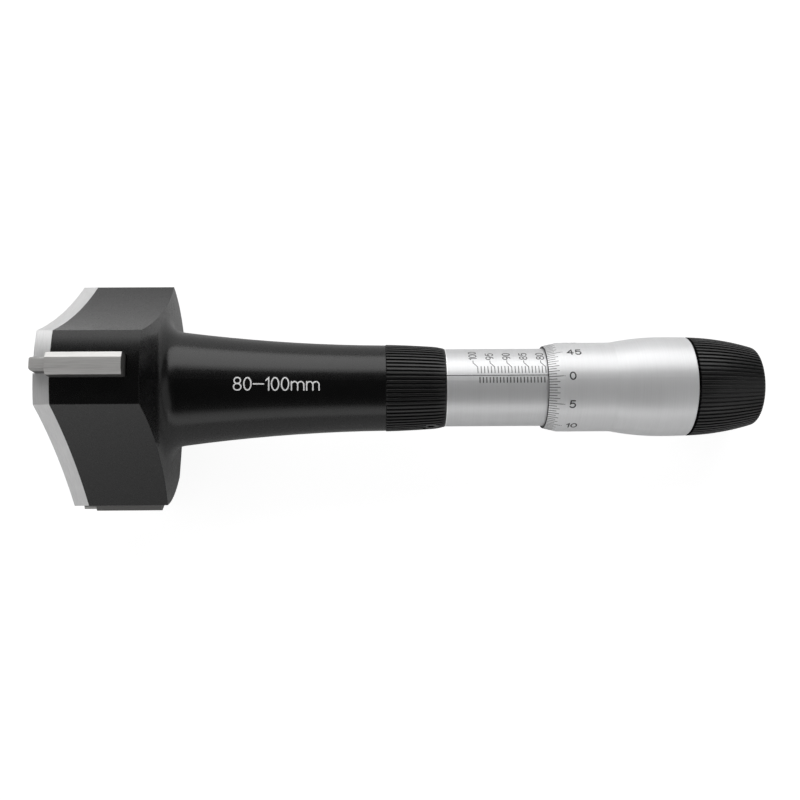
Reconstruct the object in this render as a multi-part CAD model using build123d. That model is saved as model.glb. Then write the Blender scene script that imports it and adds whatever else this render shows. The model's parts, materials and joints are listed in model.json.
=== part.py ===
from build123d import *
import math
import os

# Three-point micrometer for bores, lying on its side as it comes to rest.
# Sizes are in millimetres. The tool is drawn with its axis along X: the front
# face of the cover is at X = 0, the knob is at +X, and lobe 1 points up (+Z).
# Every piece is then tilted about Y by the angle at which the tool lies.

# Measuring range and drive
bore_min = 80.0
bore_max = 100.0
cone_slope = 0.5
cone_nose_radius = 2.25
cone_length = 22.7

# Fits
slide_gap = 0.03
running_gap = 0.04
fixed_gap = 0.02
seat_gap = 0.05
turning_face_gap = 0.3

# Measuring head
lobe_count = 3
lobe_radius = 35.4
lobe_width = 20.4
flank_hollow = 1.58
cover_thickness = 4.4
cover_edge = 0.1
cover_skin = 1.0
head_length = 28.4
rear_dome_radius = 330.0
neck_fillet = 5.5

# Handle, one piece with the head
handle_end = 94.95
neck_radius = 17.78
grip_radius = 12.96
handle_hollow = 1.06
cone_room_gap = 0.3
cone_room_spare = 2.5
bush_shoulder_radius = 7.5
bush_shoulder_length = 3.5

# Anvils
anvil_thickness = 6.1
anvil_length = 20.15
anvil_top_width = 3.0
anvil_top_radius = 36.0
anvil_chamfer_depth = 0.85
anvil_end_chamfer = 0.15
anvil_inner_radius = 2.6
anvil_heel_length = 7.2
anvil_relief_radius = 10.0
anvil_relief_slope = 4.0
nose_thickness = 3.85
nose_drop = 0.6
nose_height = 6.4
nose_top_width = 2.7
nose_chamfer_depth = 1.1
nose_recess = 0.2
nose_corner = 0.6
slot_end_room = 0.45
slot_corner = 0.4

# Anvil springs and their pegs
spring_wire = 0.45
spring_outside = 4.0
spring_turns = 7
spring_end_gap = 0.05
groove_width = 4.5
groove_depth = 4.4
groove_start = 12.5
peg_radius = 2.0
peg_inset = 6.2
peg_in_cover = 2.0

# Cover screws
cover_screw_place = 18.8
cover_screw_radius = 1.5
cover_screw_head = 3.0
cover_screw_length = 12.0
cover_screw_sunk = 0.1
cover_screw_socket = 1.0
cover_screw_socket_depth = 1.6

# Push rod and its bush
rod_radius = 3.0
rod_in_cone = 10.0
bush_radius = 8.5
bush_length = 14.0

# Spindle
spindle_start = 100.75
spindle_radius = 3.2
thread_radius = 3.5
guide_length = 14.0
guide_start = 1.5
ball_radius = 2.0
ball_proud = 1.2

# Inner barrel and adjusting nut
spigot_radius = 9.6
spigot_length = 17.0
barrel_radius = 10.5
barrel_bore = 4.2
barrel_end = 160.25
nut_length = 21.0
collet_length = 10.0
collet_radius = 6.5
collet_taper = 0.6
slit_width = 0.8
slit_count = 3
adjusting_nut_radius = 9.5
adjusting_nut_length = 6.0
adjusting_nut_place = 1.5

# Zero ring with straight ribs; its rises are measured from the sleeve
ring_length = 17.8
ring_front_rise = 1.4
ring_mid_rise = 1.15
ring_rear_rise = 0.72
ring_round_rise = 0.42
ring_lip_rise = 0.09
ring_edge = 0.25
ring_round_length = 3.3
ring_round_middle = 1.3
ring_groove_end = 0.4
ring_ribs = 63
ring_rib_start = 3.4
ring_screw_place = 13.5
ring_screw_radius = 2.5
ring_screw_angle = 84.5
ring_screw_sunk = 0.35
ring_screw_socket = 1.3
ring_screw_bite = 0.9

# Graduated sleeve
sleeve_wall = 1.23
sleeve_neck_wall = 0.65
sleeve_in_ring = 7.0
sleeve_end = 150.05

# Thimble
thimble_front = 142.55
thimble_lip_edge = 0.5
thimble_bevel_length = 4.3
thimble_wall = 1.55
thimble_straight = 16.1
thimble_bore_gap = 0.2
thimble_end = 185.9
thimble_edge = 0.2
thimble_web = 3.6
thimble_flare_rise = 1.57
thimble_flare_run = 15.6
thimble_rear_drop = 0.12
flange_radius = 6.0
flange_length = 1.7
seat_radius = 4.5
thimble_nut_radius = 9.5
thimble_nut_length = 3.5

# Knob with straight ribs, and its slipping clutch
knob_length = 20.65
knob_rise = 0.03
knob_crest_back = 1.6
knob_bulge_radius = 73.3
knob_edge = 0.3
knob_end_round = 1.3
knob_ribs = 69
knob_rib_start = 1.2
knob_bore = 12.1
knob_web = 3.0
knob_recess_radius = 8.0
knob_crown = 0.6
cap_radius = 9.0
cap_thickness = 2.4
key_width = 4.0
key_height = 0.8
disc_thickness = 2.0
disc_spring_room = 3.1
disc_spring_thickness = 0.7
disc_spring_radius = 10.5
stud_end_room = 0.8
screw_shoulder_radius = 4.0
screw_head_radius = 7.0
screw_head_length = 2.2
screw_slot = 1.2
screw_thread_radius = 2.0
screw_thread_length = 9.0

# Ribs
rib_depth = 0.5
rib_share = 0.48

# Places and sizes that follow from the values above
travel = (bore_max - bore_min) / 2 / cone_slope
rest_radius = bore_min / 2
anvil_front = cover_thickness + seat_gap
anvil_rear = anvil_front + anvil_length
peg_place = lobe_radius - peg_inset
cone_front = travel + cover_skin + turning_face_gap
cone_rear = cone_front + cone_length
cone_radius = cone_nose_radius + cone_slope * cone_length
cone_room_radius = cone_radius + cone_room_gap
cone_room_end = cone_rear + cone_room_spare
bush_front = cone_room_end + bush_shoulder_length
rod_front = cone_rear - rod_in_cone
rod_rear = spindle_start - ball_proud - seat_gap
spigot_front = handle_end - spigot_length
guide_front = spindle_start + guide_start
guide_rear = guide_front + guide_length
nut_front = barrel_end - nut_length
collet_front = barrel_end - collet_length
ring_end = handle_end + ring_length
sleeve_front = ring_end - sleeve_in_ring
sleeve_neck_radius = barrel_radius + fixed_gap + sleeve_neck_wall
sleeve_radius = barrel_radius + fixed_gap + sleeve_wall
ring_front_radius = sleeve_radius + ring_front_rise
ring_mid_radius = sleeve_radius + ring_mid_rise
ring_rear_radius = sleeve_radius + ring_rear_rise
thread_front = nut_front - 2.0
web_front = thimble_end - thimble_web
thimble_bore = sleeve_radius + thimble_bore_gap
thimble_radius = thimble_bore + thimble_wall
thimble_flare_radius = thimble_radius + thimble_flare_rise
thimble_rear_radius = thimble_flare_radius - thimble_rear_drop
knob_front = thimble_end + turning_face_gap
knob_end = knob_front + knob_length
knob_crest = knob_front - knob_crest_back
knob_crest_radius = thimble_rear_radius + knob_rise
thimble_nut_rear = thimble_end + thimble_nut_length
disc_front = thimble_nut_rear + seat_gap
knob_web_front = disc_front + disc_thickness + disc_spring_room
knob_web_rear = knob_web_front + knob_web
stud_end = knob_web_front - stud_end_room


def turned(*points):
    """A solid turned about the tool axis, from a closed outline of (x, radius) points."""
    return revolve(Plane.XZ * make_face(Polyline(*points, close=True)), Axis.X)


def turned_edges(*edges):
    """A solid turned about the tool axis, from the edges of a closed outline."""
    return revolve(Plane.XZ * make_face(Curve() + list(edges)), Axis.X)


def rod(front, rear, radius):
    """A plain round rod on the tool axis."""
    return turned((front, 0), (front, radius), (rear, radius), (rear, 0))


def around(piece, count=lobe_count, start=0.0):
    """Copies of a piece at equal angles about the tool axis."""
    return [Rot(X=start + 360 / count * i) * piece for i in range(count)]


def cone_radius_at(x):
    """Radius of the measuring cone at rest, at the place x along the tool."""
    return cone_nose_radius + cone_slope * (x - cone_front)


def bulge_radius_at(x, depth=0.0):
    """Radius of the knob's bulged outline at x, or of a line that lies depth below it."""
    arm = knob_bulge_radius - depth
    return knob_crest_radius - knob_bulge_radius + math.sqrt(arm**2 - (x - knob_crest) ** 2)


def dome_at(radius):
    """Place along the tool of the head's domed rear face, at a radius from the axis."""
    rise = math.sqrt(rear_dome_radius**2 - radius**2) - math.sqrt(rear_dome_radius**2 - lobe_radius**2)
    return head_length + rise


def rest_tilt():
    """Angle at which the tool lies on two lobe corners and on the bulge of its knob."""
    corner = math.asin(lobe_width / 2 / lobe_radius)
    depth = lobe_radius * math.cos(math.radians(60) - corner)
    run = knob_crest - head_length
    drop = depth + knob_bulge_radius - knob_crest_radius
    reach = math.hypot(run, drop)
    return math.degrees(math.atan2(drop, run) - math.asin(knob_bulge_radius / reach))


def head_outline():
    """Outline of the three-lobed head, seen along the tool: turned lobe tips, hollow flanks."""
    half = math.degrees(math.asin(lobe_width / 2 / lobe_radius))
    pitch = 360 / lobe_count
    flank = lobe_radius * math.cos(math.radians(pitch / 2 - half)) - flank_hollow

    def at(radius, angle):
        return (radius * math.cos(math.radians(angle)), radius * math.sin(math.radians(angle)))

    edges = []
    for i in range(lobe_count):
        tip = 90 + pitch * i
        edges.append(
            ThreePointArc(at(lobe_radius, tip - half), at(lobe_radius, tip), at(lobe_radius, tip + half))
        )
        edges.append(
            ThreePointArc(
                at(lobe_radius, tip + half),
                at(flank, tip + pitch / 2),
                at(lobe_radius, tip + pitch - half),
            )
        )
    return Plane.YZ * make_face(Curve() + edges)


def head_body():
    """Lobed head and flared handle, machined from one piece."""
    outside = lobe_radius + 1.0
    neck_x = dome_at(neck_radius)
    middle = (neck_x + handle_end) / 2
    handle = ThreePointArc(
        (neck_x, neck_radius),
        (middle, (neck_radius + grip_radius) / 2 - handle_hollow),
        (handle_end, grip_radius),
    )
    dome_middle = (outside + neck_radius) / 2
    dome = ThreePointArc(
        (dome_at(outside), outside), (dome_at(dome_middle), dome_middle), (neck_x, neck_radius)
    )
    blank = turned_edges(
        Line((cover_thickness, 0), (cover_thickness, outside)),
        Line((cover_thickness, outside), (dome_at(outside), outside)),
        dome,
        handle,
        Line((handle_end, grip_radius), (handle_end, 0)),
        Line((handle_end, 0), (cover_thickness, 0)),
    )
    corner = blank.edges().filter_by(GeomType.CIRCLE).sort_by(lambda e: abs(e.radius - neck_radius))[0]
    blank = fillet(corner, neck_fillet)
    body = blank & extrude(head_outline(), handle_end + 1.0)
    bore = turned(
        (cover_thickness - 1, 0),
        (cover_thickness - 1, cone_room_radius),
        (cone_room_end, cone_room_radius),
        (cone_room_end, bush_shoulder_radius),
        (bush_front, bush_shoulder_radius),
        (bush_front, bush_radius),
        (spigot_front, bush_radius),
        (spigot_front, spigot_radius + fixed_gap),
        (handle_end + 1, spigot_radius + fixed_gap),
        (handle_end + 1, 0),
    )
    slot_rear = anvil_rear + slot_end_room
    slot_start = cover_thickness - 5.0
    slot_face = Pos((slot_start + slot_rear) / 2, 0) * Rectangle(
        slot_rear - slot_start, anvil_thickness + 2 * slide_gap
    )
    slot_face = fillet(slot_face.vertices().sort_by(Axis.X)[-2:], slot_corner)
    slot = Pos(0, 0, cone_room_radius / 2) * extrude(slot_face, lobe_radius)
    tapped = Pos(cover_thickness - 1, 0, cover_screw_place) * Rot(Y=90) * Cylinder(
        cover_screw_radius + fixed_gap, cover_screw_length, align=(Align.CENTER, Align.CENTER, Align.MIN)
    )
    return body - bore - around(slot) - around(tapped, start=180 / lobe_count)


def screw_outline(length, sunk):
    """Outline of a countersunk screw with its head at the front of the cover."""
    cone_end = sunk + cover_screw_head - cover_screw_radius
    return [
        (sunk, 0),
        (sunk, cover_screw_head),
        (cone_end, cover_screw_radius),
        (length, cover_screw_radius),
        (length, 0),
    ]


def front_cover():
    """Polished cover plate over the front of the head."""
    plate = extrude(head_outline(), cover_thickness)
    rim = plate.faces().sort_by(Axis.X)[0].edges()
    plate = chamfer(rim, cover_edge)
    nose_slot_start = rest_radius - nose_drop - nose_height - seat_gap
    nose_slot = Pos(cover_thickness / 2, 0, nose_slot_start) * Box(
        cover_thickness + 2,
        nose_thickness + 2 * slide_gap,
        lobe_radius,
        align=(Align.CENTER, Align.CENTER, Align.MIN),
    )
    peg_hole = Pos(cover_thickness - peg_in_cover, 0, peg_place) * Rot(Y=90) * Cylinder(
        peg_radius + fixed_gap, peg_in_cover + 1, align=(Align.CENTER, Align.CENTER, Align.MIN)
    )
    recess_radius = cone_radius_at(cone_front + cover_thickness) + cone_room_gap
    cone_recess = rod(cover_skin, cover_thickness + 1, recess_radius)
    sunk = screw_outline(cover_thickness + 1, cover_screw_sunk)
    sunk_hole = turned((sunk[0][0] - 1, 0), (sunk[0][0] - 1, cover_screw_head + fixed_gap), *[
        (x, radius + fixed_gap) for x, radius in sunk[1:-1]
    ], sunk[-1])
    sunk_hole = Pos(0, 0, cover_screw_place) * sunk_hole
    plate -= around(sunk_hole, start=180 / lobe_count)
    return plate - around(nose_slot) - around(peg_hole) - cone_recess


def cover_screws():
    """Three countersunk screws with hexagon sockets."""
    screw = turned(*screw_outline(cover_screw_length, cover_screw_sunk))
    socket = Plane.YZ * RegularPolygon(cover_screw_socket, 6)
    screw -= extrude(socket, cover_screw_sunk + cover_screw_socket_depth)
    return around(Pos(0, 0, cover_screw_place) * screw, start=180 / lobe_count)


def spring_pegs():
    """Three pegs on the back of the cover, which hold the outer ends of the anvil springs."""
    front = cover_thickness - peg_in_cover + seat_gap
    length = peg_in_cover - seat_gap + groove_depth - seat_gap
    peg = Pos(front, 0, peg_place) * Rot(Y=90) * Cylinder(
        peg_radius, length, align=(Align.CENTER, Align.CENTER, Align.MIN)
    )
    return around(peg)


def crowned_bar(front, rear, width, top, top_width, chamfer_depth):
    """A bar along the tool with a ground crown at the top between two chamfers."""
    sink = anvil_top_radius - math.sqrt(anvil_top_radius**2 - (top_width / 2) ** 2)
    shoulder = top - sink - chamfer_depth
    section = Curve() + [
        Line((-width / 2, 0), (-width / 2, shoulder)),
        Line((-width / 2, shoulder), (-top_width / 2, top - sink)),
        ThreePointArc((-top_width / 2, top - sink), (0, top), (top_width / 2, top - sink)),
        Line((top_width / 2, top - sink), (width / 2, shoulder)),
        Line((width / 2, shoulder), (width / 2, 0)),
        Line((width / 2, 0), (-width / 2, 0)),
    ]
    return Pos(front, 0, 0) * extrude(Plane.YZ * make_face(section), rear - front)


def anvil():
    """One anvil at rest: crowned bar, nose beside the cover, leg with an inclined foot on the cone."""
    foot_start = cone_front + (anvil_inner_radius - seat_gap - cone_nose_radius) / cone_slope
    heel_front = anvil_rear - anvil_heel_length
    side = make_face(
        Polyline(
            (anvil_front, anvil_relief_radius),
            (heel_front - anvil_relief_slope, anvil_relief_radius),
            (heel_front, anvil_inner_radius),
            (foot_start, anvil_inner_radius),
            (anvil_rear, cone_radius_at(anvil_rear) + seat_gap),
            (anvil_rear, rest_radius - anvil_end_chamfer),
            (anvil_rear - anvil_end_chamfer, rest_radius + 1),
            (anvil_front, rest_radius + 1),
            close=True,
        )
    )
    blade = extrude(Plane.XZ * side, anvil_thickness, both=True)
    blade &= crowned_bar(
        anvil_front - 1, anvil_rear + 1, anvil_thickness, rest_radius, anvil_top_width, anvil_chamfer_depth
    )
    nose_top = rest_radius - nose_drop
    nose = crowned_bar(
        nose_recess, anvil_front + 1, nose_thickness, nose_top, nose_top_width, nose_chamfer_depth
    )
    nose -= Pos(0, 0, nose_top - nose_height) * Box(
        4 * cover_thickness, anvil_thickness, 2 * rest_radius, align=(Align.CENTER, Align.CENTER, Align.MAX)
    )
    plan = Pos(nose_recess + cover_thickness, 0) * Rectangle(2 * cover_thickness, nose_thickness)
    nose &= extrude(fillet(plan.vertices().sort_by(Axis.X)[:2], nose_corner), rest_radius)
    groove_end = peg_place + peg_radius + turning_face_gap
    groove = Pos(anvil_front, 0, (groove_start + groove_end) / 2) * Box(
        2 * groove_depth, groove_width, groove_end - groove_start
    )
    return blade + nose - groove


def anvil_spring():
    """Coil spring in the anvil's groove, between the anvil and the peg on the cover."""
    low = groove_start + spring_end_gap + spring_wire / 2
    high = peg_place - peg_radius - spring_end_gap - spring_wire / 2
    coil_radius = (spring_outside - spring_wire) / 2
    path = Helix((high - low) / spring_turns, high - low, coil_radius)
    wire = sweep(Plane(path @ 0, z_dir=path % 0) * Circle(spring_wire / 2), path)
    centre_x = anvil_front + groove_depth / 2
    return Pos(centre_x, 0, low) * wire


def measuring_cone():
    """Cone that spreads the three anvils, with a socket for the push rod."""
    cone = turned(
        (cone_front, 0), (cone_front, cone_nose_radius), (cone_rear, cone_radius), (cone_rear, 0)
    )
    return cone - rod(rod_front, cone_rear + 1, rod_radius + fixed_gap)


def push_rod():
    """Rod that carries the spindle's thrust to the cone."""
    return rod(rod_front, rod_rear, rod_radius)


def rod_bush():
    """Guide bush for the push rod, seated on a shoulder in the handle."""
    rear = bush_front + bush_length
    bush = rod(bush_front, rear, bush_radius - fixed_gap)
    return bush - rod(bush_front - 1, rear + 1, rod_radius + running_gap)


def inner_barrel():
    """Fixed barrel: spigot in the handle, spindle guide, and a slit collet with the spindle's nut."""
    blank = turned(
        (spigot_front, 0),
        (spigot_front, spigot_radius),
        (handle_end, spigot_radius),
        (handle_end, barrel_radius),
        (collet_front, barrel_radius),
        (collet_front, collet_radius),
        (barrel_end, collet_radius - collet_taper),
        (barrel_end, 0),
    )
    bore = turned(
        (spigot_front - 1, 0),
        (spigot_front - 1, barrel_bore),
        (guide_front, barrel_bore),
        (guide_front, spindle_radius + running_gap),
        (guide_rear, spindle_radius + running_gap),
        (guide_rear, barrel_bore),
        (nut_front, barrel_bore),
        (nut_front, thread_radius + running_gap),
        (barrel_end + 1, thread_radius + running_gap),
        (barrel_end + 1, 0),
    )
    slit = Pos(collet_front + 0.5, 0, 0) * Box(
        collet_length, slit_width, collet_radius + 1, align=(Align.MIN, Align.CENTER, Align.MIN)
    )
    groove_base = Pos(handle_end + ring_screw_place, 0, barrel_radius - ring_screw_bite) * Cylinder(
        ring_screw_radius + fixed_gap, ring_screw_bite + 1, align=(Align.CENTER, Align.CENTER, Align.MIN)
    )
    return blank - bore - around(slit, slit_count) - Rot(X=ring_screw_angle) * groove_base


def adjusting_nut():
    """Nut that closes the slit collet to take up play in the spindle's thread."""
    front = collet_front + adjusting_nut_place
    rear = front + adjusting_nut_length

    def collet_at(x):
        return collet_radius - collet_taper * (x - collet_front) / collet_length + fixed_gap

    nut = turned(
        (front, collet_at(front)),
        (front, adjusting_nut_radius),
        (rear, adjusting_nut_radius),
        (rear, collet_at(rear)),
    )
    spanner_slot = Pos(rear, 0, adjusting_nut_radius) * Box(2.4, 2.0, 2.4)
    return nut - around(spanner_slot, 2)


def groove_sector(start, end, floor_at, outside, pitch_angle):
    """One groove between two ribs: a slice of a turned ring that lies above a curved floor."""
    middle = (start + end) / 2
    outline = Curve() + [
        ThreePointArc((start, floor_at(start)), (middle, floor_at(middle)), (end, floor_at(end))),
        Line((end, floor_at(end)), (end, outside)),
        Line((end, outside), (start, outside)),
        Line((start, outside), (start, floor_at(start))),
    ]
    return revolve(Plane.XZ * make_face(outline), Axis.X, pitch_angle * (1 - rib_share))


def screw_way(bottom, radius):
    """A radial hole at the place of the ring screw, from a radius outwards."""
    hole = Pos(handle_end + ring_screw_place, 0, bottom) * Cylinder(
        radius, ring_front_radius, align=(Align.CENTER, Align.CENTER, Align.MIN)
    )
    return Rot(X=ring_screw_angle) * hole


def zero_ring():
    """Ribbed ring that turns the sleeve to zero and is then locked by its screw."""
    straight_end = ring_end - ring_round_length
    middle = (handle_end + straight_end) / 2
    lip_radius = sleeve_radius + ring_lip_rise
    blank = turned_edges(
        Line((handle_end, 0), (handle_end, ring_front_radius - ring_edge)),
        Line((handle_end, ring_front_radius - ring_edge), (handle_end + ring_edge, ring_front_radius)),
        ThreePointArc(
            (handle_end + ring_edge, ring_front_radius),
            (middle, ring_mid_radius),
            (straight_end, ring_rear_radius),
        ),
        ThreePointArc(
            (straight_end, ring_rear_radius),
            (ring_end - ring_round_middle, sleeve_radius + ring_round_rise),
            (ring_end, lip_radius),
        ),
        Line((ring_end, lip_radius), (ring_end, 0)),
        Line((ring_end, 0), (handle_end, 0)),
    )
    bore = turned(
        (handle_end - 1, 0),
        (handle_end - 1, barrel_radius + fixed_gap),
        (sleeve_front, barrel_radius + fixed_gap),
        (sleeve_front, sleeve_neck_radius + fixed_gap),
        (ring_end + 1, sleeve_neck_radius + fixed_gap),
        (ring_end + 1, 0),
    )

    def floor_at(x):
        share = (x - handle_end - ring_edge) / (straight_end - handle_end - ring_edge)
        sag = ring_mid_radius - (ring_front_radius + ring_rear_radius) / 2
        straight = ring_front_radius + (ring_rear_radius - ring_front_radius) * share
        return straight + 4 * sag * share * (1 - share) - rib_depth

    groove = groove_sector(
        handle_end - 0.5, ring_end - ring_groove_end, floor_at, ring_front_radius + 1, 360 / ring_ribs
    )
    ring = blank - bore - around(groove, ring_ribs, ring_rib_start)
    return ring - screw_way(0, ring_screw_radius + seat_gap)


def ring_screw():
    """Socket set screw that locks the ring and the sleeve to the barrel."""
    place = handle_end + ring_screw_place
    bottom = barrel_radius - ring_screw_bite + seat_gap
    top = ring_rear_radius - ring_screw_sunk
    screw = Pos(place, 0, bottom) * Cylinder(
        ring_screw_radius, top - bottom, align=(Align.CENTER, Align.CENTER, Align.MIN)
    )
    socket = Pos(place, 0, bottom + (top - bottom) / 3) * extrude(RegularPolygon(ring_screw_socket, 6), top)
    return Rot(X=ring_screw_angle) * (screw - socket)


def graduated_sleeve():
    """Thin sleeve that carries the main scale; its neck sits in the zero ring."""
    shoulder = ring_end + seat_gap
    inside = barrel_radius + fixed_gap
    tube = turned(
        (sleeve_front, inside),
        (sleeve_front, sleeve_neck_radius),
        (shoulder, sleeve_neck_radius),
        (shoulder, sleeve_radius),
        (sleeve_end, sleeve_radius),
        (sleeve_end, inside),
    )
    return tube - screw_way(0, ring_screw_radius + seat_gap)


def spindle():
    """Spindle: ball socket, ground guide, thread, flange, thimble seat and rear stud."""
    blank = turned(
        (spindle_start, 0),
        (spindle_start, spindle_radius),
        (thread_front, spindle_radius),
        (thread_front, thread_radius),
        (web_front - flange_length, thread_radius),
        (web_front - flange_length, flange_radius),
        (web_front, flange_radius),
        (web_front, seat_radius),
        (thimble_end - turning_face_gap, seat_radius),
        (thimble_end - turning_face_gap, thread_radius),
        (stud_end, thread_radius),
        (stud_end, 0),
    )
    ball_x = spindle_start - ball_proud + ball_radius
    socket = Pos(ball_x, 0, 0) * Sphere(ball_radius + fixed_gap)
    tapped = rod(stud_end - screw_thread_length - seat_gap, stud_end + 1, screw_thread_radius + fixed_gap)
    return blank - socket - tapped


def contact_ball():
    """Hard ball between the spindle and the push rod."""
    return Pos(spindle_start - ball_proud + ball_radius, 0, 0) * Sphere(ball_radius)


def thimble():
    """Thimble: bevelled scale edge, plain barrel, flared rear end and the web on the spindle."""
    bevel_end = thimble_front + thimble_bevel_length
    flare_start = bevel_end + thimble_straight
    flare_end = flare_start + thimble_flare_run
    rise = thimble_flare_radius - thimble_radius
    arc_radius = (thimble_flare_run**2 + rise**2) / (2 * rise)
    middle = (flare_start + flare_end) / 2
    middle_radius = thimble_flare_radius - arc_radius + math.sqrt(arc_radius**2 - (flare_end - middle) ** 2)
    lip_radius = thimble_bore + thimble_lip_edge
    crest_end = thimble_end - thimble_edge
    return turned_edges(
        Line((thimble_front, thimble_bore), (thimble_front, lip_radius)),
        Line((thimble_front, lip_radius), (bevel_end, thimble_radius)),
        Line((bevel_end, thimble_radius), (flare_start, thimble_radius)),
        ThreePointArc(
            (flare_start, thimble_radius), (middle, middle_radius), (flare_end, thimble_flare_radius)
        ),
        ThreePointArc(
            (flare_end, thimble_flare_radius),
            ((flare_end + crest_end) / 2, thimble_flare_radius - thimble_rear_drop / 4),
            (crest_end, thimble_rear_radius),
        ),
        Line((crest_end, thimble_rear_radius), (thimble_end, thimble_rear_radius - thimble_edge)),
        Line((thimble_end, thimble_rear_radius - thimble_edge), (thimble_end, seat_radius + fixed_gap)),
        Line((thimble_end, seat_radius + fixed_gap), (web_front, seat_radius + fixed_gap)),
        Line((web_front, seat_radius + fixed_gap), (web_front, thimble_bore)),
        Line((web_front, thimble_bore), (thimble_front, thimble_bore)),
    )


def thimble_nut():
    """Nut that clamps the thimble on its seat and is the fixed face of the clutch."""
    nut = rod(thimble_end, thimble_nut_rear, thimble_nut_radius)
    nut -= rod(thimble_end - 1, thimble_nut_rear + 1, thread_radius + fixed_gap)
    flats = Pos(thimble_end, 0, thimble_nut_radius - 1) * Box(
        thimble_nut_length, 2 * thimble_nut_radius, 2, align=(Align.MIN, Align.CENTER, Align.MIN)
    )
    return nut - around(flats, 2)


def key_bars(front, rear, gap):
    """The two keys of the clutch disc, or with a gap the keyways that take them."""
    bar = Pos(front, 0, 0) * Box(
        rear - front,
        key_width + 2 * gap,
        knob_bore + key_height + gap,
        align=(Align.MIN, Align.CENTER, Align.MIN),
    )
    return around(bar, 2)


def clutch_disc():
    """Sliding disc, keyed to the knob, that rubs on the thimble nut."""
    rear = disc_front + disc_thickness
    disc = rod(disc_front, rear, knob_bore - seat_gap) + key_bars(disc_front, rear, -seat_gap)
    return disc - rod(disc_front - 1, rear + 1, thread_radius + turning_face_gap)


def clutch_springs():
    """Two disc springs, back to back, that press the clutch disc."""
    start = disc_front + disc_thickness + seat_gap
    end = knob_web_front - seat_gap
    middle = (start + end) / 2
    inner = screw_shoulder_radius + turning_face_gap
    thickness = disc_spring_thickness
    front = turned(
        (start, inner),
        (middle - thickness, disc_spring_radius),
        (middle - fixed_gap / 2, disc_spring_radius),
        (start + thickness, inner),
    )
    rear = turned(
        (end, inner),
        (middle + thickness, disc_spring_radius),
        (middle + fixed_gap / 2, disc_spring_radius),
        (end - thickness, inner),
    )
    return [front, rear]


def thimble_knob():
    """Ribbed, bulged knob that drives the thimble through the clutch."""
    edge_rear = knob_front + knob_edge
    edge_radius = bulge_radius_at(knob_front) - knob_edge
    round_start = knob_end - knob_end_round
    lean = math.asin((round_start - knob_crest) / knob_bulge_radius)
    round_radius = knob_end_round / (1 - math.sin(lean))
    face_radius = bulge_radius_at(round_start) - round_radius * math.cos(lean)
    turn = math.pi / 4 - lean / 2
    middle = (edge_rear + round_start) / 2
    blank = turned_edges(
        Line((knob_front, 0), (knob_front, edge_radius)),
        Line((knob_front, edge_radius), (edge_rear, bulge_radius_at(edge_rear))),
        ThreePointArc(
            (edge_rear, bulge_radius_at(edge_rear)),
            (middle, bulge_radius_at(middle)),
            (round_start, bulge_radius_at(round_start)),
        ),
        ThreePointArc(
            (round_start, bulge_radius_at(round_start)),
            (knob_end - round_radius * (1 - math.cos(turn)), face_radius + round_radius * math.sin(turn)),
            (knob_end, face_radius),
        ),
        Line((knob_end, face_radius), (knob_end, 0)),
        Line((knob_end, 0), (knob_front, 0)),
    )
    bore = turned(
        (knob_front - 1, 0),
        (knob_front - 1, knob_bore),
        (knob_web_front, knob_bore),
        (knob_web_front, screw_shoulder_radius + running_gap),
        (knob_web_rear, screw_shoulder_radius + running_gap),
        (knob_web_rear, knob_recess_radius),
        (knob_end - cap_thickness, knob_recess_radius),
        (knob_end - cap_thickness, cap_radius + fixed_gap),
        (knob_end + 1, cap_radius + fixed_gap),
        (knob_end + 1, 0),
    )

    def floor_at(x):
        return bulge_radius_at(x, rib_depth)

    groove = groove_sector(
        knob_front - 0.5, knob_end + 0.5, floor_at, knob_crest_radius + 1, 360 / knob_ribs
    )
    keyways = key_bars(knob_front - 1, knob_web_front, 0)
    return blank - bore - around(groove, knob_ribs, knob_rib_start) - keyways


def knob_cap():
    """Crowned cap pressed into the end of the knob."""
    front = knob_end - cap_thickness
    crown_radius = (cap_radius**2 + knob_crown**2) / (2 * knob_crown)
    middle = cap_radius / 2
    middle_x = knob_end + knob_crown - crown_radius + math.sqrt(crown_radius**2 - middle**2)
    return turned_edges(
        Line((front, 0), (front, cap_radius)),
        Line((front, cap_radius), (knob_end, cap_radius)),
        ThreePointArc((knob_end, cap_radius), (middle_x, middle), (knob_end + knob_crown, 0)),
        Line((knob_end + knob_crown, 0), (front, 0)),
    )


def knob_screw():
    """Shoulder screw on which the knob turns."""
    head_front = knob_web_rear + seat_gap
    screw = turned(
        (stud_end - screw_thread_length, 0),
        (stud_end - screw_thread_length, screw_thread_radius),
        (stud_end, screw_thread_radius),
        (stud_end, screw_shoulder_radius),
        (head_front, screw_shoulder_radius),
        (head_front, screw_head_radius),
        (head_front + screw_head_length, screw_head_radius),
        (head_front + screw_head_length, 0),
    )
    slot = Box(screw_slot, 2 * screw_head_radius, screw_slot)
    return screw - Pos(head_front + screw_head_length, 0, 0) * slot


def write(name, piece):
    """Tilts a piece to the way the tool lies and writes it as one STEP file."""
    solids = piece if isinstance(piece, list) else [piece]
    lying = [Rot(Y=rest_tilt()) * solid for solid in solids]
    node = lying[0] if len(lying) == 1 else Compound(children=lying)
    export_step(node, os.path.join("parts", name + ".step"))


os.makedirs("parts", exist_ok=True)

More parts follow.
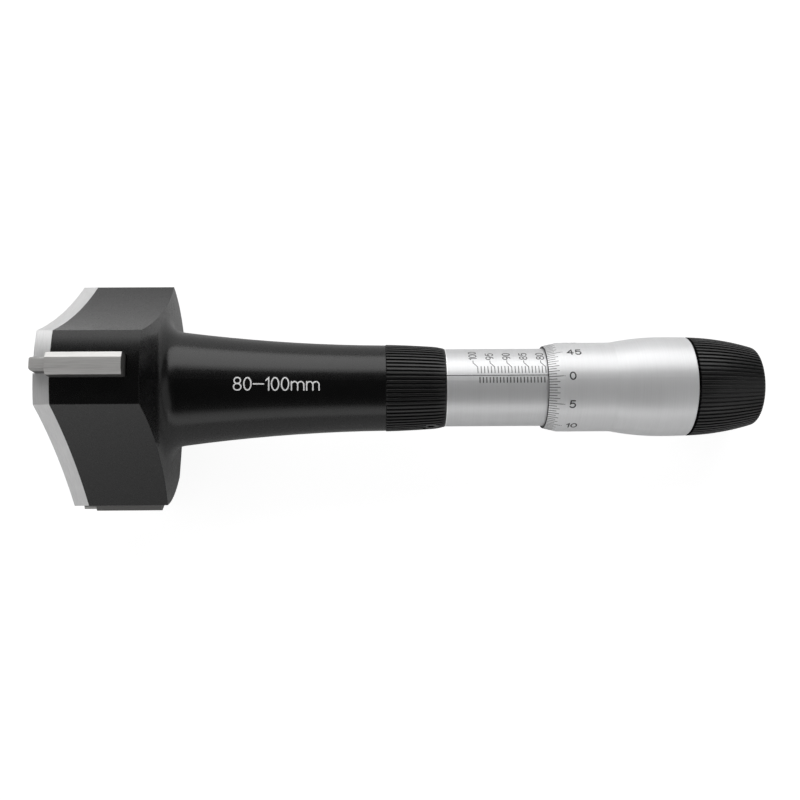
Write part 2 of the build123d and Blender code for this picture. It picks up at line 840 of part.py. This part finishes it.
write("head_body", head_body())
write("front_cover", front_cover())
write("cover_screws", cover_screws())
write("spring_pegs", spring_pegs())
for number, (blade, spring) in enumerate(zip(around(anvil()), around(anvil_spring())), start=1):
    write(f"anvil_{number}", blade)
    write(f"anvil_spring_{number}", spring)
write("measuring_cone", measuring_cone())
write("push_rod", push_rod())
write("rod_bush", rod_bush())
write("inner_barrel", inner_barrel())
write("adjusting_nut", adjusting_nut())
write("zero_ring", zero_ring())
write("ring_screw", ring_screw())
write("graduated_sleeve", graduated_sleeve())
write("spindle", spindle())
write("contact_ball", contact_ball())
write("thimble", thimble())
write("thimble_nut", thimble_nut())
write("clutch_disc", clutch_disc())
write("clutch_springs", clutch_springs())
write("thimble_knob", thimble_knob())
write("knob_cap", knob_cap())
write("knob_screw", knob_screw())
print("rest tilt", round(rest_tilt(), 3), "degrees, travel", travel, "mm")
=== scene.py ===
import bpy
import json
import math

from mathutils import Matrix, Vector
from mathutils.bvhtree import BVHTree


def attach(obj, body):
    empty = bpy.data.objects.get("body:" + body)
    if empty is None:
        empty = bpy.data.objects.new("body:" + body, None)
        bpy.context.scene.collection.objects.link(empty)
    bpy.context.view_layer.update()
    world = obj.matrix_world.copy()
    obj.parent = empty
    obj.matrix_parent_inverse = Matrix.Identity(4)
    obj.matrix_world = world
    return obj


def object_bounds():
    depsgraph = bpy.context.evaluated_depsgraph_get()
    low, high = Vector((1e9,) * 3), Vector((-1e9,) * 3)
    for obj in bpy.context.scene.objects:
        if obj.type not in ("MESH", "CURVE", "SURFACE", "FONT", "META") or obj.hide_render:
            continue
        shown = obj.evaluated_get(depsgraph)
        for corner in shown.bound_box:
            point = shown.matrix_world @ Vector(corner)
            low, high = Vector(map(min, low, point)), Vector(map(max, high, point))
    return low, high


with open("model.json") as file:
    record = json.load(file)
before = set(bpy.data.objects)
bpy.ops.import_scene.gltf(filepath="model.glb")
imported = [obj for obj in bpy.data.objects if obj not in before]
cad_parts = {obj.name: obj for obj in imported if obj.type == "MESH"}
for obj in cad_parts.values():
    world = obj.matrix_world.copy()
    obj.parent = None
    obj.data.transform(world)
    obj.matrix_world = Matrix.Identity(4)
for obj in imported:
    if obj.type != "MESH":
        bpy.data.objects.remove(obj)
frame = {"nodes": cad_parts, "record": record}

# The three-point micrometer's looks. Lengths of the tool are in millimetres and in the
# tool's own frame: axis along X, lobe 1 along +Z, angles from lobe 1 towards -Y. at()
# turns them into metres in the row frame, where the tool lies tilted about Y.

CAD_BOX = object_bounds()
MM = 0.001
NODES = frame["nodes"]
ADVANCE = next(j["axis"] for j in frame["record"]["behaviour"]["joints"] if j["name"] == "cone_advance")
TILT = math.asin(ADVANCE[2])
LAY = Matrix.Rotation(TILT, 4, "Y")


def at(x, radius, angle):
    """Point in the row frame, in metres, from tool coordinates."""
    a = math.radians(angle)
    return LAY @ (Vector((x, -radius * math.sin(a), radius * math.cos(a))) * MM)


def reach(name):
    """First and last place of a CAD node along the tool."""
    node = NODES[name]
    places = [(LAY.inverted() @ node.matrix_world @ v.co).x / MM for v in node.data.vertices]
    return min(places), max(places)


RING_END = reach("zero_ring")[1]
THIMBLE_FRONT = reach("thimble")[0]
KNOB_FRONT = reach("thimble_knob")[0]

# Printed and engraved strokes: thin closed prisms that follow the surface below them

LIFT = 0.02
SINK = 0.03
STROKE_STEP = 0.5
OUTSIDE = 60.0
# A rounded stroke end: how far beyond the last point and how wide, in half widths
STROKE_CAP = ((0.6, 0.8), (0.94, 0.35))


class Skin:
    """The outer surface of a CAD node, on which strokes are laid."""

    def __init__(self, name):
        node = NODES[name]
        self.world = node.matrix_world.copy()
        self.local = self.world.inverted()
        self.tree = BVHTree.FromObject(node, bpy.context.evaluated_depsgraph_get())

    def point(self, x, angle, height):
        """The place at a height above the surface, where a line from outside to the axis meets it."""
        outside, axis = at(x, OUTSIDE, angle), at(x, 0, angle)
        start = self.local @ outside
        inward = (self.local @ axis - start).normalized()
        return self.world @ (self.tree.ray_cast(start, inward)[0] - inward * height * MM)

    def radius(self, x, angle):
        return (self.point(x, angle, 0) - at(x, 0, angle)).length / MM

    def patch(self, x0, angle0, along_tool=True):
        """A place function for strokes: s runs along the tool and t around it, or the other way round."""
        def place(s, t, height):
            x, around = (x0 + s, t) if along_tool else (x0 - t, s)
            return self.point(x, angle0 - math.degrees(around / self.radius(x, angle0)), height)

        return place


def arc(cx, cy, rx, ry, start, end, steps=14):
    turn = [math.radians(start + (end - start) * i / steps) for i in range(steps + 1)]
    return [(cx + rx * math.cos(t), cy + ry * math.sin(t)) for t in turn]


def oval(cx, cy, rx, ry):
    return arc(cx, cy, rx, ry, 90, 450, 20)


# Each glyph is (width, list of strokes) on a height of 1
GLYPHS = {
    "0": (0.56, [oval(0.28, 0.5, 0.28, 0.5)]),
    "1": (0.22, [[(0.0, 0.77), (0.22, 1.0), (0.22, 0.0)]]),
    "2": (0.54, [arc(0.27, 0.72, 0.27, 0.28, 165, -35) + [(0.0, 0.0), (0.54, 0.0)]]),
    "3": (0.54, [arc(0.26, 0.75, 0.24, 0.25, 150, -90), arc(0.26, 0.26, 0.28, 0.26, 90, -145)]),
    "4": (0.6, [[(0.44, 0.0), (0.44, 1.0), (0.0, 0.32), (0.6, 0.32)]]),
    "5": (0.55, [[(0.5, 1.0), (0.1, 1.0), (0.04, 0.52)] + arc(0.26, 0.33, 0.29, 0.33, 125, -145)]),
    "8": (0.58, [oval(0.29, 0.76, 0.25, 0.24), oval(0.29, 0.26, 0.29, 0.26)]),
    "9": (0.56, [oval(0.28, 0.7, 0.28, 0.3), arc(0.16, 0.66, 0.4, 0.66, 0, -80)]),
    "-": (0.72, [[(-0.04, 0.49), (0.77, 0.49)]]),
    "m": (
        0.98,
        [
            [(0.0, 0.0), (0.0, 0.68)],
            [(0.0, 0.42)] + arc(0.245, 0.43, 0.245, 0.25, 180, 0, 12) + [(0.49, 0.0)],
            [(0.49, 0.42)] + arc(0.735, 0.43, 0.245, 0.25, 180, 0, 12) + [(0.98, 0.0)],
        ],
    ),
}


def spread(points):
    """The same polyline with points close enough to follow a curved surface."""
    out = [points[0]]
    for (ax, ay), (bx, by) in zip(points, points[1:]):
        count = max(1, math.ceil(math.hypot(bx - ax, by - ay) / STROKE_STEP))
        out += [(ax + (bx - ax) * i / count, ay + (by - ay) * i / count) for i in range(1, count + 1)]
    return out


def sections(points, half, closed):
    """Centre, sideways direction and half width of each cross section of a stroke."""
    count = len(points)
    rows = []
    for i, point in enumerate(points):
        before = points[i - 1] if closed or i else None
        after = points[(i + 1) % count] if closed or i < count - 1 else None
        steps = [
            Vector((b[0] - a[0], b[1] - a[1])).normalized()
            for a, b in ((before, point), (point, after))
            if a is not None and b is not None
        ]
        along = sum(steps, Vector((0, 0))).normalized()
        side = Vector((-along.y, along.x))
        mitre = 1 / max(0.5, along.dot(steps[0]))
        rows.append((Vector(point), side, half * mitre))
    return rows


def capped(rows, half):
    """The cross sections of an open stroke with its two rounded ends added."""
    def end(row, outward):
        centre, side, _ = row
        along = Vector((side.y, -side.x)) * outward
        return [(centre + along * half * run, side, half * wide) for run, wide in STROKE_CAP]

    return end(rows[0], -1)[::-1] + rows + end(rows[-1], 1)


class Print:
    """Strokes gathered into one mesh that rides one body."""

    def __init__(self):
        self.verts = []
        self.faces = []

    def add(self, strokes, place, width):
        """Adds strokes as prisms; place(s, t, height) gives a point in the row frame."""
        for number, points in enumerate(strokes):
            closed = len(points) > 2 and math.dist(points[0], points[-1]) < 1e-6
            points = spread(points)
            rows = sections(points[:-1] if closed else points, width / 2, closed)
            if not closed:
                rows = capped(rows, width / 2)
            # Strokes that cross get tops at slightly different heights
            lift = LIFT + 0.002 * (number % 5)
            start = len(self.verts)
            for centre, side, half in rows:
                left, right = centre + side * half, centre - side * half
                self.verts += [place(*left, lift), place(*right, lift), place(*right, -SINK), place(*left, -SINK)]
            self.join(start, len(rows), closed)

    def join(self, start, total, closed):
        for i in range(total if closed else total - 1):
            a, b = start + 4 * i, start + 4 * ((i + 1) % total)
            for k in range(4):
                n = (k + 1) % 4
                self.faces.append((a + k, a + n, b + n, b + k))
        if not closed:
            last = start + 4 * (total - 1)
            self.faces.append((start + 3, start + 2, start + 1, start))
            self.faces.append((last, last + 1, last + 2, last + 3))

    def finish(self, name, body, material):
        mesh = bpy.data.meshes.new(name)
        mesh.from_pydata(self.verts, [], self.faces)
        mesh.materials.append(material)
        mesh.shade_flat()
        piece = bpy.data.objects.new(name, mesh)
        bpy.context.scene.collection.objects.link(piece)
        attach(piece, body)


def text(line, height, gap, widen=1.0):
    """Strokes of a line of text, centred on (0, 0), and its length."""
    strokes, s = [], 0.0
    for sign in line:
        width, parts = GLYPHS[sign]
        strokes += [[(s + x * height * widen, (y - 0.5) * height) for x, y in part] for part in parts]
        s += width * height * widen + gap
    length = s - gap
    return [[(x - length / 2, y) for x, y in part] for part in strokes], length


# Materials

def new_material(name):
    """An empty Principled material, and the tool's own coordinates in millimetres as its texture space."""
    material = bpy.data.materials.new(name)
    material.use_nodes = True
    nodes, links = material.node_tree.nodes, material.node_tree.links
    coordinates = nodes.new("ShaderNodeTexCoord")
    to_tool = nodes.new("ShaderNodeMapping")
    to_tool.inputs["Scale"].default_value = (1 / MM, 1 / MM, 1 / MM)
    to_tool.inputs["Rotation"].default_value = (0, -TILT, 0)
    links.new(coordinates.outputs["Object"], to_tool.inputs["Vector"])
    return material, nodes, links, to_tool.outputs["Vector"]


def noise(nodes, links, vector, grain, detail):
    """Noise with its own scale along each axis of the tool, per millimetre."""
    stretch = nodes.new("ShaderNodeVectorMath")
    stretch.operation = "MULTIPLY"
    stretch.inputs[1].default_value = grain
    links.new(vector, stretch.inputs[0])
    texture = nodes.new("ShaderNodeTexNoise")
    texture.inputs["Scale"].default_value = 1.0
    texture.inputs["Detail"].default_value = detail
    links.new(stretch.outputs["Vector"], texture.inputs["Vector"])
    return texture.outputs["Fac"]


def mapped(nodes, links, value, source, target):
    node = nodes.new("ShaderNodeMapRange")
    node.inputs["From Min"].default_value, node.inputs["From Max"].default_value = source
    node.inputs["To Min"].default_value, node.inputs["To Max"].default_value = target
    links.new(value, node.inputs["Value"])
    return node.outputs["Result"]


def blended(nodes, links, kind, factor, first, second):
    """A Mix node. Each of first and second is a value or the output of another node."""
    mix = nodes.new("ShaderNodeMix")
    mix.data_type = kind
    sockets = [s for s in mix.inputs if s.enabled and s.name in ("A", "B")]
    for socket, source in [(mix.inputs["Factor"], factor), *zip(sockets, (first, second))]:
        if isinstance(source, bpy.types.NodeSocket):
            links.new(source, socket)
        else:
            socket.default_value = source
    return next(s for s in mix.outputs if s.enabled)


def rounded_normal(nodes, width):
    bevel = nodes.new("ShaderNodeBevel")
    bevel.samples = 6
    bevel.inputs["Radius"].default_value = width * MM
    return bevel.outputs["Normal"]


def edge_share(nodes, links, rounded, strength):
    """How near a sharp edge a point is, from a rounded normal set against the true one."""
    true = nodes.new("ShaderNodeNewGeometry")
    likeness = nodes.new("ShaderNodeVectorMath")
    likeness.operation = "DOT_PRODUCT"
    links.new(rounded, likeness.inputs[0])
    links.new(true.outputs["Normal"], likeness.inputs[1])
    return mapped(nodes, links, likeness.outputs["Value"], (0.8, 0.995), (strength, 0.0))


def outward_share(nodes, links, tool):
    """1 on faces that look away from the tool's axis, 0 on the side walls and ends of a radial bar: the mask of the
    painted side shade.
    """
    radial = nodes.new("ShaderNodeVectorMath")
    radial.operation = "MULTIPLY"
    radial.inputs[1].default_value = (0, 1, 1)
    links.new(tool, radial.inputs[0])
    unit = nodes.new("ShaderNodeVectorMath")
    unit.operation = "NORMALIZE"
    links.new(radial.outputs["Vector"], unit.inputs[0])
    own = nodes.new("ShaderNodeTexCoord")
    turned = nodes.new("ShaderNodeMapping")
    turned.inputs["Rotation"].default_value = (0, -TILT, 0)
    links.new(own.outputs["Normal"], turned.inputs["Vector"])
    likeness = nodes.new("ShaderNodeVectorMath")
    likeness.operation = "DOT_PRODUCT"
    links.new(unit.outputs["Vector"], likeness.inputs[0])
    links.new(turned.outputs["Vector"], likeness.inputs[1])
    return mapped(nodes, links, likeness.outputs["Value"], (0.3, 0.7), (0.0, 1.0))


def past(nodes, links, tool, place):
    """0 in front of a place along the tool, 1 behind it: the mask of the painted band at the front."""
    split = nodes.new("ShaderNodeSeparateXYZ")
    links.new(tool, split.inputs["Vector"])
    return mapped(nodes, links, split.outputs["X"], (place - RIM_RUN, place), (0.0, 1.0))


NOISE_MIDDLE = (0.3, 0.7)
BROAD_SHARE = 0.35
BUMP_DEPTH = 0.02
RIM_RUN = 0.1


def finish(name, base, metallic, roughness, grain, specular=0.5, shade=0.93, spread=0.04, bump=0.06,
           edge=None, painted_side_shade=None, rim=None):
    """A surface finish.

    grain: noise scale along and around the tool, per millimetre. shade: the darker tone of the grain, as a
    share of the base. spread: how far the roughness strays. edge: width in millimetres to which sharp edges
    look rounded, and the strength and tone of their lighter edge tone, partly wear and partly a painted
    highlight. painted_side_shade: tone and roughness of faces that do not look outward, a painted shade.
    rim: tone and specular level of a narrow band at the front, a painted shade of a gap or a painted
    highlight on an edge, and the place along the tool at which it ends.
    """
    material, nodes, links, tool = new_material(name)
    shader = nodes["Principled BSDF"]
    shader.inputs["Metallic"].default_value = metallic
    shader.inputs["Specular IOR Level"].default_value = specular
    fine = noise(nodes, links, tool, grain, 3.0)
    broad = noise(nodes, links, tool, [g / 9 for g in grain], 2.0)
    mottle = blended(nodes, links, "FLOAT", BROAD_SHARE, fine, broad)
    tone = mapped(nodes, links, mottle, NOISE_MIDDLE, (0.0, 1.0))
    colour = blended(nodes, links, "RGBA", tone, [*(c * shade for c in base), 1], [*base, 1])
    relief = nodes.new("ShaderNodeBump")
    # Sharp edges look rounded in the shading, and take a lighter tone that is partly wear and partly a painted
    # highlight
    if edge:
        width, strength, wear_and_highlight = edge
        rounded = rounded_normal(nodes, width)
        links.new(rounded, relief.inputs["Normal"])
        colour = blended(nodes, links, "RGBA", edge_share(nodes, links, rounded, strength), colour, [*wear_and_highlight, 1])
    rough = mapped(nodes, links, mottle, NOISE_MIDDLE, (roughness - spread, roughness + spread))
    # Painted shade: faces that do not look outward take a darker tone and their own roughness
    if painted_side_shade:
        outward = outward_share(nodes, links, tool)
        colour = blended(nodes, links, "RGBA", outward, [*painted_side_shade[0], 1], colour)
        rough = blended(nodes, links, "FLOAT", outward, painted_side_shade[1], rough)
    # A painted band at the front: a painted shade of a gap, dark and with little sheen, or a painted highlight on an
    # edge
    if rim:
        behind = past(nodes, links, tool, rim[2])
        colour = blended(nodes, links, "RGBA", behind, [*rim[0], 1], colour)
        links.new(blended(nodes, links, "FLOAT", behind, rim[1], specular), shader.inputs["Specular IOR Level"])
    links.new(colour, shader.inputs["Base Color"])
    links.new(rough, shader.inputs["Roughness"])
    relief.inputs["Strength"].default_value = bump
    relief.inputs["Distance"].default_value = BUMP_DEPTH * MM
    links.new(fine, relief.inputs["Height"])
    links.new(relief.outputs["Normal"], shader.inputs["Normal"])
    return material


ANODISED = (0.0015, 0.0015, 0.0016)
# Lighter tone of black edges: partly wear, partly a painted highlight of a rounded edge catching the light
BLACK_WEAR_AND_HIGHLIGHT = (0.04, 0.04, 0.0405)
SATIN = (0.78, 0.783, 0.79)
BRIGHT_SATIN = (0.83, 0.833, 0.84)
# Lighter tone of metal edges: partly wear, partly a painted highlight of a rounded edge catching the light
PALE_WEAR_AND_HIGHLIGHT = (0.9, 0.9, 0.9)
TURNED = (4.0, 0.08, 0.08)
LAPPED = (0.15, 5.0, 5.0)
# Front band tones: the first is a painted shade of a gap, dark and with little sheen; the second is a painted
# highlight on a turned edge
PAINTED_GAP_SHADE = ((0.0005, 0.0005, 0.0005), 0.05)
PAINTED_EDGE_HIGHLIGHT = ((1.0, 1.0, 1.0), 1.0)

SLOTS = {
    "black_body": finish("black_body", ANODISED, 0.0, 0.27, (3.0, 3.0, 3.0), shade=0.8, spread=0.03,
                         edge=(0.2, 0.5, BLACK_WEAR_AND_HIGHLIGHT)),
    "black_ribs": finish("black_ribs", ANODISED, 0.0, 0.33, (3.0, 3.0, 3.0), shade=0.8, bump=0.08,
                         edge=(0.25, 0.9, BLACK_WEAR_AND_HIGHLIGHT)),
    "cover_plate": finish("cover_plate", (0.84, 0.84, 0.84), 0.35, 0.38, (5.0, 0.25, 0.25), shade=0.85,
                          edge=(0.1, 0.4, PALE_WEAR_AND_HIGHLIGHT)),
    # The anvils' side faces carry a painted shade, darker than their ground crowns
    "ground_steel": finish("ground_steel", (0.74, 0.73, 0.715), 0.55, 0.45, LAPPED, shade=0.72, bump=0.12,
                           edge=(0.1, 0.4, PALE_WEAR_AND_HIGHLIGHT), painted_side_shade=((0.15, 0.148, 0.145), 0.35)),
    "hard_steel": finish("hard_steel", (0.5, 0.5, 0.51), 1.0, 0.3, TURNED, shade=0.9),
    "spring_steel": finish("spring_steel", (0.4, 0.4, 0.42), 1.0, 0.35, (3.0, 3.0, 3.0)),
    "black_screw": finish("black_screw", ANODISED, 0.0, 0.3, (4.0, 4.0, 4.0), shade=0.8, bump=0.1),
    "bronze": finish("bronze", (0.62, 0.45, 0.24), 1.0, 0.35, TURNED),
}
# Pieces with a narrow painted band at the front: a painted shade of the gap in front of the thimble and the knob, and
# a painted highlight on the sleeve's edge beside the ring
RIMMED = {
    "thimble": finish("thimble_satin", BRIGHT_SATIN, 0.42, 0.43, TURNED, bump=0.05, edge=(0.15, 0.8, PALE_WEAR_AND_HIGHLIGHT),
                      rim=(*PAINTED_GAP_SHADE, THIMBLE_FRONT + 0.15)),
    "thimble_knob": finish("knob_ribs", ANODISED, 0.0, 0.33, (3.0, 3.0, 3.0), shade=0.8, bump=0.08,
                           edge=(0.25, 0.9, BLACK_WEAR_AND_HIGHLIGHT), rim=(*PAINTED_GAP_SHADE, KNOB_FRONT + 0.4)),
    "graduated_sleeve": finish("sleeve_satin", SATIN, 0.52, 0.43, TURNED, bump=0.05, edge=(0.12, 0.3, PALE_WEAR_AND_HIGHLIGHT),
                               rim=(*PAINTED_EDGE_HIGHLIGHT, RING_END + 0.4)),
}
INK_DARK = finish("ink_dark", (0.02, 0.02, 0.0205), 0.0, 0.45, (5.0, 5.0, 5.0), specular=0.8)
INK_PALE = finish("ink_pale", (1.0, 1.0, 1.0), 0.0, 0.5, (5.0, 5.0, 5.0), shade=0.97)

for part in frame["record"]["subparts"]:
    node = NODES[part["node"]]
    material = RIMMED.get(part["node"]) or SLOTS[part["material_slot"]]
    if not node.data.materials:
        node.data.materials.append(material)
    for index in range(len(node.data.materials)):
        node.data.materials[index] = material


# Range text on the handle

RANGE_PLACE = (63.2, 4.7)

range_text = Print()
strokes, _ = text("80-100mm", 3.66, 0.81)
range_text.add(strokes, Skin("head_body").patch(*RANGE_PLACE), 0.39)
range_text.finish("range_text", "handle", INK_PALE)

# Main scale on the sleeve: whole millimetres above the datum line, halves below it. Lengths are in
# millimetres, angles in degrees

DATUM_ANGLE = -7.4
RANGE = (80, 100)
EDGE_TO_LOWEST = 0.6
DATUM_UNDER_THIMBLE = 4.0
MARK = (0.75, 2.9)
LEADER = ((0.0, 0.75), (0.0, 2.7), (-1.25, 4.2), (-1.25, 5.0))
HALF_MARK = (-0.65, -2.15)
NUMBER_RISE = 5.5

SLEEVE = Skin("graduated_sleeve")
SLEEVE_RADIUS = SLEEVE.radius(THIMBLE_FRONT, DATUM_ANGLE)

sleeve_scale = Print()
beside_datum = SLEEVE.patch(0.0, DATUM_ANGLE)
sleeve_scale.add([[(RING_END + 0.2, 0), (THIMBLE_FRONT + DATUM_UNDER_THIMBLE, 0)]], beside_datum, 0.22)
for value in range(RANGE[0], RANGE[1] + 1):
    x = THIMBLE_FRONT - EDGE_TO_LOWEST - (value - RANGE[0])
    if value % 5:
        sleeve_scale.add([[(x, rise) for rise in MARK]], beside_datum, 0.22)
    else:
        sleeve_scale.add([[(x + back, rise) for back, rise in LEADER]], beside_datum, 0.22)
        strokes, length = text(str(value), 2.15, 0.5, 1.05)
        angle = DATUM_ANGLE - math.degrees((NUMBER_RISE + length / 2) / SLEEVE_RADIUS)
        sleeve_scale.add(strokes, SLEEVE.patch(x + LEADER[-1][0], angle, along_tool=False), 0.27)
    if value > RANGE[0]:
        sleeve_scale.add([[(x + 0.5, rise) for rise in HALF_MARK]], beside_datum, 0.3)
sleeve_scale.finish("sleeve_scale", "handle", INK_DARK)

# Thimble scale: fifty divisions with their halves, and a number at every fifth one

ZERO_ANGLE = -3.8
DIVISIONS = 50
LONG, MEDIUM, SHORT = 4.6, 3.1, 2.3
NUMBER_PLACE = 6.1

THIMBLE = Skin("thimble")
thimble_scale = Print()
for half in range(2 * DIVISIONS):
    length = LONG if half % 10 == 0 else SHORT if half % 2 else MEDIUM
    place = THIMBLE.patch(THIMBLE_FRONT, ZERO_ANGLE + 180 / DIVISIONS * half)
    thimble_scale.add([[(0.12, 0), (length, 0)]], place, 0.17)
for value in range(0, DIVISIONS, 5):
    strokes, length = text(str(value), 2.13, 0.7, 1.34)
    place = THIMBLE.patch(THIMBLE_FRONT + NUMBER_PLACE + length / 2, ZERO_ANGLE + 360 / DIVISIONS * value)
    thimble_scale.add(strokes, place, 0.4)
thimble_scale.finish("thimble_scale", "thimble", INK_DARK)


# Floor

FLOOR_HALF = 6.0
FLOOR_GAP = 0.00002
FLOOR_GLOW = 0.9
# The share of the glow that shows in reflections
FLOOR_IN_METAL = 0.08
# The floor's own tone in the light that falls on the tool, and to the camera
FLOOR_TONES = (0.85, 0.32)


def floor_material():
    """Pale floor that the camera sees as white, with the tool's soft shadow on it."""
    material = bpy.data.materials.new("floor")
    material.use_nodes = True
    nodes, links = material.node_tree.nodes, material.node_tree.links
    shader = nodes["Principled BSDF"]
    shader.inputs["Roughness"].default_value = 0.9
    shader.inputs["Specular IOR Level"].default_value = 0.0
    shader.inputs["Emission Color"].default_value = (1, 1, 1, 1)
    path = nodes.new("ShaderNodeLightPath")
    seen = nodes.new("ShaderNodeMath")
    seen.operation = "MULTIPLY_ADD"
    seen.inputs[1].default_value = FLOOR_IN_METAL
    links.new(path.outputs["Is Glossy Ray"], seen.inputs[0])
    links.new(path.outputs["Is Camera Ray"], seen.inputs[2])
    glow = nodes.new("ShaderNodeMath")
    glow.operation = "MULTIPLY"
    glow.inputs[1].default_value = FLOOR_GLOW
    links.new(seen.outputs["Value"], glow.inputs[0])
    links.new(glow.outputs["Value"], shader.inputs["Emission Strength"])
    pale, dark = ([tone, tone, tone, 1] for tone in FLOOR_TONES)
    links.new(blended(nodes, links, "RGBA", seen.outputs["Value"], pale, dark), shader.inputs["Base Color"])
    return material


floor_mesh = bpy.data.meshes.new("floor")
level = CAD_BOX[0].z - FLOOR_GAP
corners = [(-1, -1), (1, -1), (1, 1), (-1, 1)]
floor_mesh.from_pydata([(x * FLOOR_HALF, y * FLOOR_HALF, level) for x, y in corners], [], [(0, 1, 2, 3)])
floor_mesh.materials.append(floor_material())
floor = bpy.data.objects.new("floor", floor_mesh)
bpy.context.scene.collection.objects.link(floor)

# Camera: square to the tool's axis, turned from lobe 1's direction towards -Y, then trimmed

VIEW_TURN = math.radians(10.5)
VIEW_PLACE = (89.4, 0.13, 300.0)
VIEW_TRIM = (("Y", -0.73), ("X", -0.71), ("Z", -0.32))

across = Vector((1, 0, 0))
upward = Vector((0, math.cos(VIEW_TURN), math.sin(VIEW_TURN)))
basis = LAY.to_3x3() @ Matrix((across, upward, across.cross(upward))).transposed()
facing = basis.copy()
for axis, degrees in VIEW_TRIM:
    facing = facing @ Matrix.Rotation(math.radians(degrees), 3, axis)

camera_data = bpy.data.cameras.new("camera")
camera_data.lens = 44.42
camera_data.shift_x = 0.0253
camera_data.sensor_width = 36
camera_data.clip_start = 0.01
camera_data.clip_end = 30
camera = bpy.data.objects.new("camera", camera_data)
bpy.context.scene.collection.objects.link(camera)
camera.matrix_world = Matrix.Translation(basis @ Vector(VIEW_PLACE) * MM) @ facing.to_4x4()
bpy.context.scene.camera = camera

# Lights: soft boxes along both sides and at both ends, and dim surroundings

TOOL_MIDDLE = Vector((0.1, 0.0, 0.0))


def softbox(name, place, size, radiance):
    """An area light that faces the tool. Its power follows from its size and the radiance of its face."""
    data = bpy.data.lights.new(name, "AREA")
    data.shape = "RECTANGLE"
    data.size, data.size_y = size
    data.energy = radiance * math.pi * size[0] * size[1]
    lamp = bpy.data.objects.new(name, data)
    bpy.context.scene.collection.objects.link(lamp)
    lamp.location = place
    lamp.rotation_euler = (TOOL_MIDDLE - Vector(place)).to_track_quat("-Z", "X").to_euler()
    lamp.visible_camera = False


def studio_world(overhead, horizon, heights):
    """Grey surroundings that dim from the horizon to overhead between two heights, and that the camera sees white."""
    world = bpy.data.worlds.new("studio")
    bpy.context.scene.world = world
    world.use_nodes = True
    nodes, links = world.node_tree.nodes, world.node_tree.links
    coordinates = nodes.new("ShaderNodeTexCoord")
    split = nodes.new("ShaderNodeSeparateXYZ")
    links.new(coordinates.outputs["Generated"], split.inputs["Vector"])
    fall = nodes.new("ShaderNodeMapRange")
    fall.interpolation_type = "SMOOTHSTEP"
    fall.inputs["From Min"].default_value, fall.inputs["From Max"].default_value = heights
    fall.inputs["To Min"].default_value, fall.inputs["To Max"].default_value = horizon, overhead
    links.new(split.outputs["Z"], fall.inputs["Value"])
    path = nodes.new("ShaderNodeLightPath")
    strength = nodes.new("ShaderNodeMath")
    strength.operation = "MAXIMUM"
    links.new(fall.outputs["Result"], strength.inputs[0])
    links.new(path.outputs["Is Camera Ray"], strength.inputs[1])
    links.new(strength.outputs["Value"], nodes["Background"].inputs["Strength"])
    nodes["Background"].inputs["Color"].default_value = (1, 1, 1, 1)


softbox("top_box", (0.1, 0.95, 0.55), (1.0, 1.8), 2.25)
softbox("low_box", (0.1, -0.95, 0.27), (0.45, 1.8), 1.1)
softbox("left_box", (-0.8, -0.35, 0.5), (0.9, 1.2), 1.0)
softbox("right_box", (1.0, -0.35, 0.5), (0.9, 1.2), 0.5)
studio_world(0.05, 0.1, (0.1, 0.8))

bpy.context.scene.view_settings.view_transform = "Standard"
bpy.context.view_layer.update()
